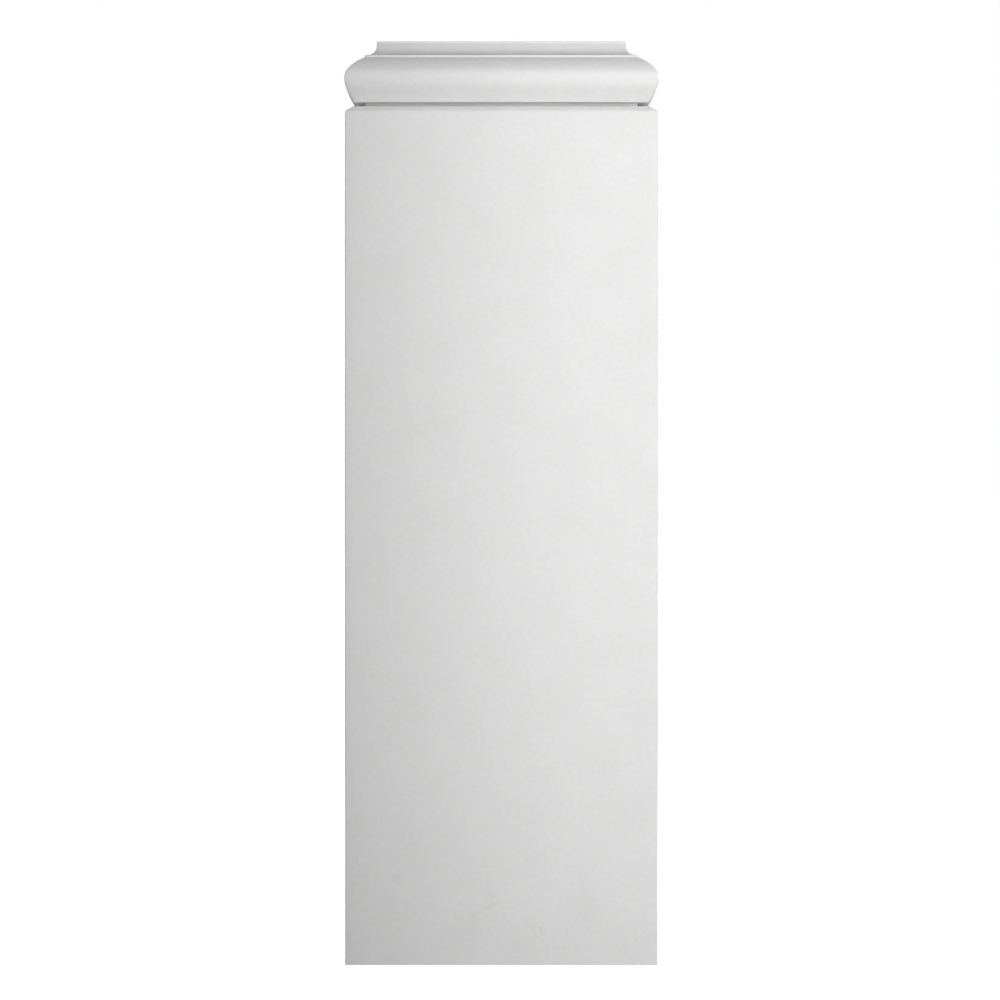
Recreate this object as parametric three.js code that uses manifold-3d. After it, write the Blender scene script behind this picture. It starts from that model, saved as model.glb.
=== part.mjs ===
// Pilaster base: a tall plain plinth with a base moulding along its top, cast as one piece.
// The moulding crosses the front and returns along both sides to a flat back, which goes on a wall.
// The shaft of the pilaster stands on the flat top. Millimetres, +Z up.
// The front faces -Y, and the origin is the middle of the underside.
import * as THREE from "three";
import { mergeVertices } from "three/addons/utils/BufferGeometryUtils.js";
import Module from "manifold-3d";

// Overall sizes
const HEIGHT = 800;
const FACE_WIDTH = 270; // across the plinth's plain face
const FACE_DEPTH = 68; // from the wall to the plinth's face

// Moulding, from the top down. An inset is a distance behind the plinth's face, front and sides alike.
const NECK_INSET = 26.7;
const NECK_HEIGHT = 4;
const CAVETTO_RADIUS = 8.6;
const FILLET_INSET = 16.5;
const FILLET_HEIGHT = 2.3;

// Torus: a flat shoulder and a rounder brow above the nose, a round chin and a flatter jaw below it
const NOSE_PROUD = 0.6; // how far the torus stands out past the plinth's face
const NOSE_HEIGHT = 1.5; // upright band between the brow and the chin
const SHOULDER_RADIUS = 39;
const BROW_RADIUS = 12;
const BROW_TURN = THREE.MathUtils.degToRad(40); // from the nose to where the shoulder starts
const CHIN_RADIUS = 20;
const CHIN_TURN = THREE.MathUtils.degToRad(22); // from the nose to where the jaw starts
const JAW_RADIUS = 70;
const LIP_INSET = 7.4; // lower edge of the torus

// Quirk: the groove between the torus and the plinth
const QUIRK_HEIGHT = 3.3;
const QUIRK_INSET = 17;

// Weathering: the plinth's sloped top edge, rounded where it meets the face
const WEATHERING_INSET = 7;
const WEATHERING_SLOPE = THREE.MathUtils.degToRad(33); // from the horizontal
const ARRIS_RADIUS = 2;

const ARC_STEPS = 8; // half the number of straight steps in each arc
const CLEARANCE = 20; // how far each elevation runs past the solid it is cut from

// Heights of the moulding's edges
const neckFoot = HEIGHT - NECK_HEIGHT;
const shelf = neckFoot - CAVETTO_RADIUS;
const filletFoot = shelf - FILLET_HEIGHT;

// The shoulder starts at the foot of the fillet and runs smoothly into the brow, so its centre lies on the
// line through the brow's centre and the point where they meet
const browInset = BROW_RADIUS - NOSE_PROUD;
const shoulderInset = browInset + (SHOULDER_RADIUS - BROW_RADIUS) * Math.cos(BROW_TURN);
const shoulderTurn = Math.acos((shoulderInset - FILLET_INSET) / SHOULDER_RADIUS);
const shoulderLevel = filletFoot - SHOULDER_RADIUS * Math.sin(shoulderTurn);
const browLevel = shoulderLevel + (SHOULDER_RADIUS - BROW_RADIUS) * Math.sin(BROW_TURN);

// The chin runs into the jaw in the same way, and the jaw ends at the lip
const chinInset = CHIN_RADIUS - NOSE_PROUD;
const chinLevel = browLevel - NOSE_HEIGHT;
const jawInset = chinInset + (JAW_RADIUS - CHIN_RADIUS) * Math.cos(CHIN_TURN);
const jawLevel = chinLevel + (JAW_RADIUS - CHIN_RADIUS) * Math.sin(CHIN_TURN);
const lipTurn = Math.acos((jawInset - LIP_INSET) / JAW_RADIUS);
const lip = jawLevel - JAW_RADIUS * Math.sin(lipTurn);
const quirkFloor = lip - QUIRK_HEIGHT;

// The weathering falls from the quirk's floor and turns down into the face on a small arc
const arrisTurn = Math.PI / 2 - WEATHERING_SLOPE;
const arrisInset = ARRIS_RADIUS * (1 - Math.cos(arrisTurn));
const arrisTop = quirkFloor - (WEATHERING_INSET - arrisInset) * Math.tan(WEATHERING_SLOPE);
const arrisFoot = arrisTop - ARRIS_RADIUS * Math.sin(arrisTurn);

// Profile shared by the front and both returns, from the floor up: x is the inset, y the height
function mouldingProfile() {
  const path = new THREE.Path();
  path.moveTo(0, 0);
  path.lineTo(0, arrisFoot);
  path.absarc(ARRIS_RADIUS, arrisFoot, ARRIS_RADIUS, Math.PI, Math.PI - arrisTurn, true);
  path.lineTo(WEATHERING_INSET, quirkFloor);
  path.lineTo(QUIRK_INSET, quirkFloor);
  path.lineTo(QUIRK_INSET, lip);
  path.lineTo(LIP_INSET, lip);
  path.absarc(jawInset, jawLevel, JAW_RADIUS, Math.PI + lipTurn, Math.PI + CHIN_TURN, true);
  path.absarc(chinInset, chinLevel, CHIN_RADIUS, Math.PI + CHIN_TURN, Math.PI, true);
  path.absarc(browInset, browLevel, BROW_RADIUS, Math.PI, Math.PI - BROW_TURN, true);
  const shoulderEnd = Math.PI - shoulderTurn;
  path.absarc(shoulderInset, shoulderLevel, SHOULDER_RADIUS, Math.PI - BROW_TURN, shoulderEnd, true);
  path.lineTo(FILLET_INSET, shelf);
  path.absarc(NECK_INSET - CAVETTO_RADIUS, neckFoot, CAVETTO_RADIUS, -Math.PI / 2, 0, false);
  path.lineTo(NECK_INSET, HEIGHT);
  return path.getPoints(ARC_STEPS);
}

// Front elevation: the profile on the right and, mirrored, on the left. It is drawn past the floor and
// the top, where the side elevation cuts it, and extruded through the whole depth.
function frontElevation(profile) {
  const right = profile.map(({ x, y }) => new THREE.Vector2(FACE_WIDTH / 2 - x, y));
  right[0].y -= CLEARANCE;
  right.at(-1).y += CLEARANCE;
  const left = right.map(({ x, y }) => new THREE.Vector2(-x, y)).reverse();
  const depth = FACE_DEPTH + 2 * CLEARANCE;
  const geometry = new THREE.ExtrudeGeometry(new THREE.Shape([...right, ...left]), {
    depth,
    bevelEnabled: false,
  });
  geometry.rotateX(Math.PI / 2);
  geometry.translate(0, CLEARANCE, 0);
  return geometry;
}

// Side elevation: the profile in front and the wall at y = 0 behind, extruded through the whole width
function sideElevation(profile) {
  const front = profile.map(({ x, y }) => new THREE.Vector2(x - FACE_DEPTH, y));
  const wall = [new THREE.Vector2(0, HEIGHT), new THREE.Vector2(0, 0)];
  const width = FACE_WIDTH + 2 * CLEARANCE;
  const geometry = new THREE.ExtrudeGeometry(new THREE.Shape([...front, ...wall]), {
    depth: width,
    bevelEnabled: false,
  });
  const along = new THREE.Vector3(1, 0, 0);
  const forward = new THREE.Vector3(0, 1, 0);
  const up = new THREE.Vector3(0, 0, 1);
  geometry.applyMatrix4(new THREE.Matrix4().makeBasis(forward, up, along));
  geometry.translate(-width / 2, 0, 0);
  return geometry;
}

const wasm = await Module();
wasm.setup();

function solidOf(geometry) {
  geometry.deleteAttribute("normal");
  geometry.deleteAttribute("uv");
  const merged = mergeVertices(geometry);
  const mesh = new wasm.Mesh({
    numProp: 3,
    vertProperties: merged.attributes.position.array,
    triVerts: new Uint32Array(merged.index.array),
  });
  return new wasm.Manifold(mesh);
}

function geometryOf(solid) {
  const { vertProperties, triVerts } = solid.getMesh();
  const geometry = new THREE.BufferGeometry();
  geometry.setAttribute("position", new THREE.BufferAttribute(vertProperties, 3));
  geometry.setIndex(new THREE.BufferAttribute(triVerts, 1));
  geometry.computeVertexNormals();
  return geometry;
}

// The two elevations meet in a moulding mitred at both front corners
function pilasterBase() {
  const profile = mouldingProfile();
  const solid = solidOf(frontElevation(profile)).intersect(solidOf(sideElevation(profile)));
  const primer = new THREE.MeshStandardMaterial({ color: 0xe8e8e6, roughness: 0.6, metalness: 0 });
  const mesh = new THREE.Mesh(geometryOf(solid), primer);
  mesh.name = "pilaster_base";
  mesh.position.y = (FACE_DEPTH + NOSE_PROUD) / 2;
  return mesh;
}

const group = new THREE.Group();
group.add(pilasterBase());

export default group;
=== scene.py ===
from math import acos, cos, exp, hypot, pi, radians, sin, tan

import bpy
import numpy as np
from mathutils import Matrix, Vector, noise


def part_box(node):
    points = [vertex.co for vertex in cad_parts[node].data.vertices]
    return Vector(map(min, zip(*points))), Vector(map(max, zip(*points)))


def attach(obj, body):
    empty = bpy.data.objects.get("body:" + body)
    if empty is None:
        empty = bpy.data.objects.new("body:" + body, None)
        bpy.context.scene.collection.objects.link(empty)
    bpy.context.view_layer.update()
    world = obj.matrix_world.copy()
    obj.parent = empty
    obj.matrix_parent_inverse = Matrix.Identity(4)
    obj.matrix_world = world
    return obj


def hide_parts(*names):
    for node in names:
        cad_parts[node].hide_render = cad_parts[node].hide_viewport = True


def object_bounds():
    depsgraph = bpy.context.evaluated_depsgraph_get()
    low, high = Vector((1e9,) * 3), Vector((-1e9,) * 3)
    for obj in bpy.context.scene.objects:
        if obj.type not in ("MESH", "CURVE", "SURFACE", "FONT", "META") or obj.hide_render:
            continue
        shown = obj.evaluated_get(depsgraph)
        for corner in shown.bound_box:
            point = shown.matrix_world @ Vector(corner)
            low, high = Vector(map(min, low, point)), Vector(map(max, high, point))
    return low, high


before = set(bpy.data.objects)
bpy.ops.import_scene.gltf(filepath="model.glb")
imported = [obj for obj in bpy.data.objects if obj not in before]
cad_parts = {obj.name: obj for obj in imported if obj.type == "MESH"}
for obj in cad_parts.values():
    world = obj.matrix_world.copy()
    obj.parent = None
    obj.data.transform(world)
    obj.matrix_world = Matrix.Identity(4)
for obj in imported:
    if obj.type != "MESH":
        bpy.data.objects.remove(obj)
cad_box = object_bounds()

scene = bpy.context.scene
MM = 0.001

# Camera
# A long lens looks straight at the front, level with the middle of the piece's height. The pixel values
# are where the photograph has the plinth's centre line and foot, and how wide its face is.
PHOTO_PIXELS = 1000
CENTRE_LINE_PIXEL = 501.4
FOOT_PIXEL = 965.3
FACE_PIXELS = 312.9
FACE_WIDTH = 270 * MM
FACE_SETBACK = 0.6 * MM  # behind the foremost point of the moulding
CAMERA_DISTANCE = 4.0  # from the plinth's face
pixel = FACE_WIDTH / FACE_PIXELS
camera_data = bpy.data.cameras.new("camera")
camera_data.lens = camera_data.sensor_width * CAMERA_DISTANCE / (PHOTO_PIXELS * pixel)
camera = bpy.data.objects.new("camera", camera_data)
camera.location = (
    (PHOTO_PIXELS / 2 - CENTRE_LINE_PIXEL) * pixel,
    cad_box[0].y + FACE_SETBACK - CAMERA_DISTANCE,
    (FOOT_PIXEL - PHOTO_PIXELS / 2) * pixel,
)
camera.rotation_euler = (pi / 2, 0, 0)
scene.collection.objects.link(camera)
scene.camera = camera

# Pilaster base
# One casting of rigid polyurethane foam: a tall plain plinth under a base moulding of quirk, torus, fillet
# and cavetto, mitred round both front corners. Its flat back is glued and screwed to the wall, and its
# other faces are sprayed with matt white primer, which softens the moulding's edges.

# Moulding in millimetres, from the top down. An inset is a distance behind the plinth's face.
NECK_INSET = 26.7
NECK_HEIGHT = 4
CAVETTO_RADIUS = 8.6
FILLET_INSET = 16.5
FILLET_HEIGHT = 2.3
SHOULDER_RADIUS = 39
BROW_RADIUS = 12
BROW_TURN = radians(40)  # from the nose to where the shoulder starts
NOSE_PROUD = 0.6  # how far the torus stands out past the plinth's face
NOSE_HEIGHT = 1.5
CHIN_RADIUS = 20
CHIN_TURN = radians(22)  # from the nose to where the jaw starts
JAW_RADIUS = 70
LIP_INSET = 7.4  # lower edge of the torus
QUIRK_HEIGHT = 3.3
QUIRK_INSET = 17
WEATHERING_INSET = 7
WEATHERING_SLOPE = radians(33)  # from the horizontal
ARRIS_RADIUS = 2

low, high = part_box("pilaster_base")
height = (high.z - low.z) / MM
half_face = (high.x - low.x) / MM / 2 - NOSE_PROUD
front = low.y / MM + NOSE_PROUD
back = high.y / MM

# Places of the moulding's edges and arcs, worked out from the top. The arcs of the torus run smoothly into
# each other, so the centres of two neighbours lie on one line through the point where they meet.
neck_foot = height - NECK_HEIGHT
shelf = neck_foot - CAVETTO_RADIUS
brow_inset = BROW_RADIUS - NOSE_PROUD
shoulder_inset = brow_inset + (SHOULDER_RADIUS - BROW_RADIUS) * cos(BROW_TURN)
shoulder_turn = acos((shoulder_inset - FILLET_INSET) / SHOULDER_RADIUS)
shoulder_level = shelf - FILLET_HEIGHT - SHOULDER_RADIUS * sin(shoulder_turn)
brow_level = shoulder_level + (SHOULDER_RADIUS - BROW_RADIUS) * sin(BROW_TURN)
chin_inset = CHIN_RADIUS - NOSE_PROUD
chin_level = brow_level - NOSE_HEIGHT
jaw_inset = chin_inset + (JAW_RADIUS - CHIN_RADIUS) * cos(CHIN_TURN)
jaw_level = chin_level + (JAW_RADIUS - CHIN_RADIUS) * sin(CHIN_TURN)
lip_turn = acos((jaw_inset - LIP_INSET) / JAW_RADIUS)
lip = jaw_level - JAW_RADIUS * sin(lip_turn)
quirk_floor = lip - QUIRK_HEIGHT
arris_turn = pi / 2 - WEATHERING_SLOPE
arris_inset = ARRIS_RADIUS * (1 - cos(arris_turn))
arris_top = quirk_floor - (WEATHERING_INSET - arris_inset) * tan(WEATHERING_SLOPE)
arris_foot = arris_top - ARRIS_RADIUS * sin(arris_turn)

ARC_POINTS = 40


def arc(inset, level, radius, start, end):
    """Points on an arc of the profile, as inset and height."""
    turns = np.linspace(start, end, ARC_POINTS)
    return [(inset + radius * cos(turn), level + radius * sin(turn)) for turn in turns]


SOFTENING = 1.8  # how far from an edge the primer rounds it
FINE_STEP = 0.1  # between the points that are averaged
LONGEST_STEP = 1.8  # between the points that are kept
LARGEST_TURN = radians(11)


def softened(path):
    """The path with its edges rounded by a moving average, and then thinned where it bends little."""
    path = np.array(path)
    runs = np.append(0, np.cumsum(np.linalg.norm(np.diff(path, axis=0), axis=1)))
    places = np.linspace(0, runs[-1], round(runs[-1] / FINE_STEP) + 1)
    even = np.stack([np.interp(places, runs, path[:, axis]) for axis in (0, 1)], axis=1)
    reach = round(SOFTENING / FINE_STEP)
    # A bell of weights, without the zero at each end
    weights = np.hanning(2 * reach + 3)[1:-1]
    weights /= weights.sum()
    longer = np.pad(even, ((reach, reach), (0, 0)), mode="reflect", reflect_type="odd")
    smooth = np.stack([np.convolve(longer[:, axis], weights, "valid") for axis in (0, 1)], axis=1)
    steps = np.diff(smooth, axis=0)
    bends = np.abs(np.diff(np.unwrap(np.arctan2(steps[:, 1], steps[:, 0]))))
    kept = [smooth[0]]
    run = turn = 0
    for point, step, bend in zip(smooth[1:-1], steps, bends):
        run += hypot(*step)
        turn += bend
        if run > LONGEST_STEP or turn > LARGEST_TURN:
            kept.append(point)
            run = turn = 0
    return kept + [smooth[-1]]


EDGE = 3  # how far the profile runs in under the foot, down the face and in over the top
foot_rows = [(EDGE, 0), (0, 0)]
moulding_rows = softened(
    [(0, arris_foot - EDGE), (0, arris_foot)]
    + arc(ARRIS_RADIUS, arris_foot, ARRIS_RADIUS, pi, pi - arris_turn)
    + [(WEATHERING_INSET, quirk_floor), (QUIRK_INSET, quirk_floor), (QUIRK_INSET, lip), (LIP_INSET, lip)]
    + arc(jaw_inset, jaw_level, JAW_RADIUS, pi + lip_turn, pi + CHIN_TURN)
    + arc(chin_inset, chin_level, CHIN_RADIUS, pi + CHIN_TURN, pi)
    + arc(brow_inset, brow_level, BROW_RADIUS, pi, pi - BROW_TURN)
    + arc(shoulder_inset, shoulder_level, SHOULDER_RADIUS, pi - BROW_TURN, pi - shoulder_turn)
    + [(FILLET_INSET, shelf)]
    + arc(NECK_INSET - CAVETTO_RADIUS, neck_foot, CAVETTO_RADIUS, -pi / 2, 0)
    + [(NECK_INSET, height), (NECK_INSET + EDGE, height)]
)

# Marks of handling low on the face, in millimetres right of the centre line and above the floor: a small
# filled hole, two soft creases greyed with painted shade, one forked and one ending in a pit that is greyed
# with painted shade too, some smudges of grime, one of them the painted shade of a dent at the forked
# crease's end, and a scatter of specks, the strong ones tiny pits greyed with painted shade.
FILLED_HOLE = (-89.7, 74.9)
FILLED_HOLE_RADIUS = 4.7
FILLED_HOLE_EDGE = 1.4  # width of its blurred rim
FORKED_CREASE = [(-10.3, 62.1), (-9.4, 51.7), (-17.2, 47.4), (-24.5, 43.1), (-28.4, 36.1)]
CREASE_FORK = [(-9.4, 51.7), (-2.5, 53.4)]
SHORT_CREASE = [(19.1, 38.8), (26, 33.1), (32.5, 30.8)]
CREASE_WIDTH = 2.8
PIT = (32.8, 31)
PIT_RADIUS = 1.4
SMUDGES = [(-43, 20), (-24, 36), (14, 17), (75, 47)]
SMUDGE_RADIUS = 13
STRONG_SPECKS = [(28.6, 25.8), (80.1, 40.5), (116.4, 22.7)]
FAINT_SPECKS = [(65.8, 46.5), (67.5, 33.5), (74.4, 31.4), (92.6, 55.2), (107.3, 47.4), (111.7, 28.3)]
SPECK_RADIUS = 1.3

# Bands of the face where the mesh is fine enough to hold the marks
MARKED_COLUMNS = [(-97, -82), (-38, 38), (62, 120)]
MARKED_ROWS = [(19, 84)]
FINE_PITCH = 0.9
COARSE_PITCH = 6


def banded(start, end, bands):
    """Places from start to end, close together inside the bands and far apart elsewhere."""
    edges = [start, *(edge for band in bands for edge in band), end]
    places = [start]
    for number, (near, far) in enumerate(zip(edges, edges[1:])):
        pitch = FINE_PITCH if number % 2 else COARSE_PITCH
        places += list(np.linspace(near, far, round((far - near) / pitch) + 1))[1:]
    return np.array(places)


def gap_to_line(x, z, line):
    """How far a place on the face is from a line of points."""
    place = Vector((x, z))
    gaps = []
    for start, end in zip(line, line[1:]):
        start = Vector(start)
        run = Vector(end) - start
        share = min(1, max(0, (place - start).dot(run) / run.length_squared))
        gaps.append((place - start - run * share).length)
    return min(gaps)


def faded(gap, reach):
    """1 on a mark, falling smoothly to nothing a little way past its reach."""
    return exp(-((gap / reach) ** 2))


def faded_spots(x, z, centres, radius):
    """The strongest of some round marks at a place on the face."""
    return max(faded(hypot(x - centre_x, z - centre_z), radius) for centre_x, centre_z in centres)


FILLED_HOLE_DEPTH = 0.05
CREASE_DEPTH = 0.06
PIT_DEPTH = 0.5
SPECK_DEPTH = 0.1
# The creases, the pit and the strong specks are greyed with painted shade in their hollows. The smudges are
# grime, and one of them is the painted shade of a dent
FILLED_HOLE_GRIME = 0.24
CREASE_SHADE = 0.22
PIT_SHADE = 0.55
SMUDGE_GRIME_AND_SHADE = 0.13
STRONG_SPECK_SHADE = 0.45
FAINT_GRIME = 0.25


def marks(x, z):
    """Depth in millimetres and darkening, from 0 to 1, of the marks at a place: grime and painted shade."""
    rim_gap = FILLED_HOLE_RADIUS - hypot(x - FILLED_HOLE[0], z - FILLED_HOLE[1])
    hole = min(1, max(0, 0.5 + rim_gap / FILLED_HOLE_EDGE))
    lines = (FORKED_CREASE, CREASE_FORK, SHORT_CREASE)
    crease = max(faded(gap_to_line(x, z, line), CREASE_WIDTH) for line in lines)
    pit = faded_spots(x, z, [PIT], PIT_RADIUS)
    smudge = faded_spots(x, z, SMUDGES, SMUDGE_RADIUS)
    strong = faded_spots(x, z, STRONG_SPECKS, SPECK_RADIUS)
    faint = faded_spots(x, z, FAINT_SPECKS, SPECK_RADIUS)
    depth = FILLED_HOLE_DEPTH * hole + CREASE_DEPTH * crease + PIT_DEPTH * pit + SPECK_DEPTH * strong
    darkest = max(
        FILLED_HOLE_GRIME * hole,
        CREASE_SHADE * crease,
        PIT_SHADE * pit,
        SMUDGE_GRIME_AND_SHADE * smudge,
        STRONG_SPECK_SHADE * strong,
        FAINT_GRIME * faint,
    )
    return depth, darkest


# One level of the casting runs from the back's left edge round the front to the back's right edge
CORNER_RADIUS = 0.8
BACK_RADIUS = 0.5
CORNER_STEPS = 6
SIDE_STEPS = 12
corner_turns = np.linspace(0, pi / 2, CORNER_STEPS + 1)
side_shares = np.linspace(0, 1, SIDE_STEPS + 1)
face_reach = half_face - CORNER_RADIUS
face_shares = (banded(-face_reach, face_reach, MARKED_COLUMNS) + face_reach) / (2 * face_reach)


def outline(inset):
    """Points of one level, each as x, y and the way the surface faces there."""
    half = half_face - inset
    near = front + inset
    corners = [
        (BACK_RADIUS - half, back - BACK_RADIUS, BACK_RADIUS),
        (CORNER_RADIUS - half, near + CORNER_RADIUS, CORNER_RADIUS),
        (half - CORNER_RADIUS, near + CORNER_RADIUS, CORNER_RADIUS),
        (half - BACK_RADIUS, back - BACK_RADIUS, BACK_RADIUS),
    ]
    rounds = []
    for number, (x, y, radius) in enumerate(corners, 1):
        turns = corner_turns + number * pi / 2
        facing = np.stack([np.cos(turns), np.sin(turns)], axis=1)
        rounds.append(np.hstack([(x, y) + radius * facing, facing]))
    level = list(rounds[0])
    for before, after, shares in zip(rounds, rounds[1:], (side_shares, face_shares, side_shares)):
        level += [before[-1] + (after[0] - before[-1]) * share for share in shares[1:-1]]
        level += list(after)
    return level


RECESS_INSET = 14


def painted_recess_shade(inset):
    """Painted shade in the recesses, from 0 to 1, greyer the further they lie behind the plinth's face."""
    if inset > NECK_INSET:
        return 0  # the flat top is no recess
    return max(0, (inset - RECESS_INSET) / (NECK_INSET - RECESS_INSET))


# The cast faces aren't quite flat: they wander by a hair over a hand's breadth, but not next to the back
WANDER = 0.16
WANDER_LENGTH = 70
WANDER_FADE = 20

FRONT_FACING = -0.999  # the flat of the front faces at least this far towards -Y
face_rows = [(0, level) for level in banded(0, arris_foot - EDGE, MARKED_ROWS)[1:-1]]
rows = [*foot_rows, *face_rows, *moulding_rows]
points = []
grime_and_shade = []
for inset, level in rows:
    for x, y, facing_x, facing_y in outline(inset):
        drift = (1 + noise.noise(Vector((x, y, level)) / WANDER_LENGTH)) / 2
        sunk = WANDER * drift * min(1, (back - y) / WANDER_FADE)
        # Painted shade in the recesses. On the front, the marks' grime and painted shade take its place
        soil_and_shade = painted_recess_shade(inset)
        if inset == 0 and facing_y < FRONT_FACING:
            depth, soil_and_shade = marks(x, level)
            sunk += depth
        points.append(Vector((x - facing_x * sunk, y - facing_y * sunk, level)) * MM)
        grime_and_shade.append(soil_and_shade)

# Each row is joined to the next. The back, the top and the underside are one flat face each.
around = len(points) // len(rows)
faces = []
for row in range(len(rows) - 1):
    for column in range(around - 1):
        corner = row * around + column
        faces.append((corner, corner + 1, corner + 1 + around, corner + around))
last = (len(rows) - 1) * around
left_edge = list(range(0, last + 1, around))
right_edge = list(range(last + around - 1, around - 2, -around))
back_face = len(faces)
faces.append(left_edge + right_edge)
faces.append(list(range(last, last + around)))
faces.append(list(range(around - 1, -1, -1)))

SHARP_ANGLE = radians(30)
mesh = bpy.data.meshes.new("pilaster_base")
mesh.from_pydata(points, [], faces)
# Per point, how grey the primer is painted: grime, and painted shade in the recesses and the marks' hollows
mesh.attributes.new("grime_and_shade", "FLOAT", "POINT").data.foreach_set("value", grime_and_shade)
mesh.polygons.foreach_set("use_smooth", [number < back_face for number in range(len(faces))])
mesh.set_sharp_from_angle(angle=SHARP_ANGLE)


def linear(hex_colour):
    """A colour for a shader from an sRGB hex value."""
    channels = [int(hex_colour[start:start + 2], 16) / 255 for start in (0, 2, 4)]
    return [*(c / 12.92 if c <= 0.04045 else ((c + 0.055) / 1.055) ** 2.4 for c in channels), 1]


def add_node(tree, kind, inputs, **settings):
    """A new node with its settings, and with each input set to a value or linked to an output."""
    made = tree.nodes.new(kind)
    for name, value in settings.items():
        setattr(made, name, value)
    for name, value in inputs.items():
        if isinstance(value, bpy.types.NodeSocket):
            tree.links.new(value, made.inputs[name])
        else:
            made.inputs[name].default_value = value
    return made


# Matt white primer, sprayed over the moulded foam: a dry, even white with a fine stipple, faintly cloudy
# where the coat is thinner, and grey with grime in some marks and with painted shade in the recesses and in
# the hollows of the creases and pits. A real stipple is finer: it is drawn 4.2 mm across so that it shows.
PRIMER = linear("ECECEC")
PRIMER_THIN = linear("DCDCDB")
GRIME_AND_SHADE = linear("D0CFCF")
CLOUD = 40 * MM
CLOUD_DETAIL = 3
STIPPLE = 4.2 * MM
STIPPLE_DETAIL = 2
STIPPLE_DEPTH = 0.015 * MM
STIPPLE_SHARE = 0.62  # how much the stipple, rather than the clouds, thins the coat
ROUGHNESS_THICK = 0.5
ROUGHNESS_THIN = 0.66
PRIMER_IOR = 1.5
primer = bpy.data.materials.new("primer_sprayed_on_polyurethane")
primer.use_nodes = True
tree = primer.node_tree
shader = tree.nodes["Principled BSDF"]
shader.inputs["IOR"].default_value = PRIMER_IOR
place = add_node(tree, "ShaderNodeTexCoord", {}).outputs["Object"]
clouds = add_node(
    tree, "ShaderNodeTexNoise", {"Vector": place, "Scale": 1 / CLOUD, "Detail": CLOUD_DETAIL}
).outputs["Fac"]
stipple = add_node(
    tree, "ShaderNodeTexNoise", {"Vector": place, "Scale": 1 / STIPPLE, "Detail": STIPPLE_DETAIL}
).outputs["Fac"]
thinness = add_node(tree, "ShaderNodeMix", {"Factor": STIPPLE_SHARE, "A": clouds, "B": stipple})
coat = add_node(
    tree,
    "ShaderNodeMix",
    {"Factor": thinness.outputs["Result"], "A": PRIMER, "B": PRIMER_THIN},
    data_type="RGBA",
)
# The grey of grime and of painted shade, read from that per-point attribute
soiling_and_shading = add_node(tree, "ShaderNodeAttribute", {}, attribute_name="grime_and_shade")
soiled_and_shaded = add_node(
    tree,
    "ShaderNodeMix",
    {"Factor": soiling_and_shading.outputs["Fac"], "A": coat.outputs["Result"], "B": GRIME_AND_SHADE},
    data_type="RGBA",
)
dryness = add_node(
    tree, "ShaderNodeMapRange", {"Value": clouds, "To Min": ROUGHNESS_THICK, "To Max": ROUGHNESS_THIN}
)
grain = add_node(tree, "ShaderNodeBump", {"Height": stipple, "Distance": STIPPLE_DEPTH})
tree.links.new(soiled_and_shaded.outputs["Result"], shader.inputs["Base Color"])
tree.links.new(dryness.outputs["Result"], shader.inputs["Roughness"])
tree.links.new(grain.outputs["Normal"], shader.inputs["Normal"])
mesh.materials.append(primer)

# Bare polyurethane, sanded flat on the back for the adhesive: a dull cream skin, patchy where the sanding
# went deeper, with painted shade in the open pores. Real pores are finer: they are drawn 3 mm apart so that
# they show.
SKIN = linear("E6DECA")
SKIN_WORN = linear("D6CBAF")
PORE_SHADE = linear("BDB095")
SANDING = 60 * MM
SANDING_DETAIL = 4
PORE = 3 * MM
PORE_FLOOR = 0.1  # radius, as a share of the distance between pores
PORE_RIM = 0.3  # radius, likewise
PORE_DEPTH = 0.15 * MM
FOAM_ROUGHNESS = 0.8
FOAM_IOR = 1.5
bare = bpy.data.materials.new("bare_sanded_polyurethane")
bare.use_nodes = True
tree = bare.node_tree
shader = tree.nodes["Principled BSDF"]
shader.inputs["IOR"].default_value = FOAM_IOR
shader.inputs["Roughness"].default_value = FOAM_ROUGHNESS
place = add_node(tree, "ShaderNodeTexCoord", {}).outputs["Object"]
worn = add_node(
    tree, "ShaderNodeTexNoise", {"Vector": place, "Scale": 1 / SANDING, "Detail": SANDING_DETAIL}
)
skin = add_node(
    tree, "ShaderNodeMix", {"Factor": worn.outputs["Fac"], "A": SKIN, "B": SKIN_WORN}, data_type="RGBA"
)
pores = add_node(tree, "ShaderNodeTexVoronoi", {"Vector": place, "Scale": 1 / PORE})
closed = add_node(
    tree,
    "ShaderNodeMapRange",
    {"Value": pores.outputs["Distance"], "From Min": PORE_FLOOR, "From Max": PORE_RIM},
).outputs["Result"]
pitted = add_node(
    tree,
    "ShaderNodeMix",
    {"Factor": closed, "A": PORE_SHADE, "B": skin.outputs["Result"]},
    data_type="RGBA",
)
grain = add_node(tree, "ShaderNodeBump", {"Height": closed, "Distance": PORE_DEPTH})
tree.links.new(pitted.outputs["Result"], shader.inputs["Base Color"])
tree.links.new(grain.outputs["Normal"], shader.inputs["Normal"])
mesh.materials.append(bare)
mesh.polygons[back_face].material_index = mesh.materials.find(bare.name)

pilaster_base = bpy.data.objects.new("primed_pilaster_base", mesh)
scene.collection.objects.link(pilaster_base)
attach(pilaster_base, "root")
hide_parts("pilaster_base")

# Studio
# A white floor under a white sky. The key is a tall strip softbox with a grid, close by at the front right,
# which lets the light fall off towards the left and the foot. Two broad softboxes behind serve views of the
# back, the sides and the top.
scene.view_settings.view_transform = "Standard"
WHITE = linear("FFFFFF")
SKY_FOR_CAMERA = 1
SKY_FOR_OBJECT = 0.084
world = bpy.data.worlds.new("studio")
world.use_nodes = True
tree = world.node_tree
background = tree.nodes["Background"]
background.inputs["Color"].default_value = WHITE
seen = add_node(tree, "ShaderNodeLightPath", {}).outputs["Is Camera Ray"]
glow = add_node(
    tree, "ShaderNodeMapRange", {"Value": seen, "To Min": SKY_FOR_OBJECT, "To Max": SKY_FOR_CAMERA}
)
tree.links.new(glow.outputs["Result"], background.inputs["Strength"])
scene.world = world

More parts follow.
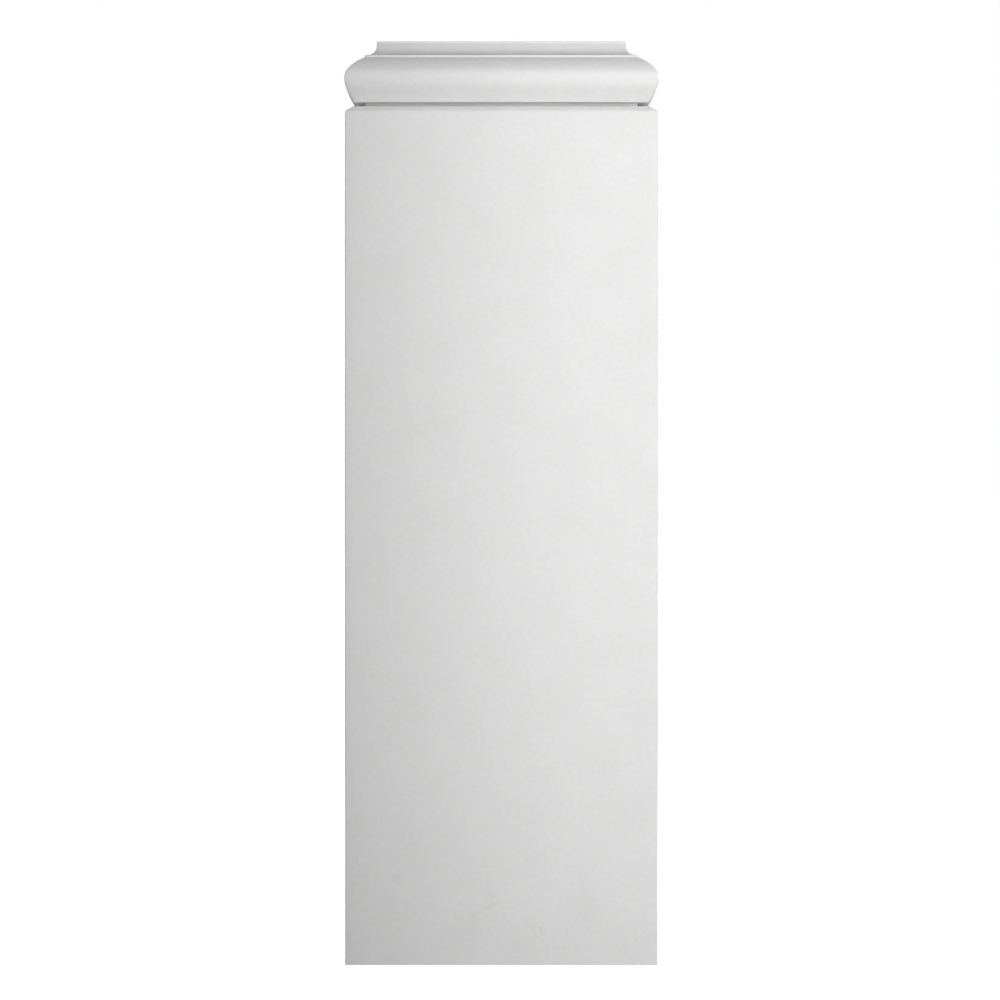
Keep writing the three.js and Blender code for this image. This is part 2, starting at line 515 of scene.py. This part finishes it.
# Dead matt paper, which glows as bright as the sky and gives the piece no light of its own
PAPER = linear("F4F4F4")
PAPER_ROUGHNESS = 1
PAPER_SPECULAR = 0
FLOOR_REACH = 30
FLOOR_CORNERS = [(-1, -1), (1, -1), (1, 1), (-1, 1)]
floor_points = [(x * FLOOR_REACH, y * FLOOR_REACH, 0) for x, y in FLOOR_CORNERS]
floor_mesh = bpy.data.meshes.new("floor")
floor_mesh.from_pydata(floor_points, [], [range(len(floor_points))])
paper = bpy.data.materials.new("white_paper")
paper.use_nodes = True
shader = paper.node_tree.nodes["Principled BSDF"]
shader.inputs["Base Color"].default_value = PAPER
shader.inputs["Roughness"].default_value = PAPER_ROUGHNESS
shader.inputs["Specular IOR Level"].default_value = PAPER_SPECULAR
shader.inputs["Emission Color"].default_value = WHITE
shader.inputs["Emission Strength"].default_value = SKY_FOR_CAMERA
floor_mesh.materials.append(paper)
floor = bpy.data.objects.new("floor", floor_mesh)
scene.collection.objects.link(floor)
floor.visible_diffuse = False
floor.visible_glossy = False
floor.visible_shadow = False


def softbox(name, place, aim, size, spread, power):
    """A rectangular area light, aimed at a point and hidden from the camera."""
    data = bpy.data.lights.new(name, "AREA")
    data.shape = "RECTANGLE"
    data.size, data.size_y = size
    data.spread = spread
    data.energy = power
    lamp = bpy.data.objects.new(name, data)
    lamp.location = place
    lamp.rotation_euler = (Vector(aim) - Vector(place)).to_track_quat("-Z", "Y").to_euler()
    lamp.visible_camera = False
    scene.collection.objects.link(lamp)


# Places in metres and powers in watts
face_plane = front * MM
KEY_PLACE = (0.3, face_plane - 0.7, 0.719)
KEY_AIM = (0.049, face_plane, 0.644)
KEY_SIZE = (0.143, 1.82)
KEY_SPREAD = radians(102.5)  # narrowed by the grid
KEY_POWER = 4.3
REAR_LEFT = (-1.4, 1.2, 1.5)
REAR_RIGHT = (1.4, 1.2, 1.5)
REAR_AIM = (0, 0, 0.4)
REAR_SIZE = (1.2, 1.2)
REAR_SPREAD = pi  # no grid
REAR_POWER = 28
softbox("key", KEY_PLACE, KEY_AIM, KEY_SIZE, KEY_SPREAD, KEY_POWER)
softbox("back_left", REAR_LEFT, REAR_AIM, REAR_SIZE, REAR_SPREAD, REAR_POWER)
softbox("back_right", REAR_RIGHT, REAR_AIM, REAR_SIZE, REAR_SPREAD, REAR_POWER)
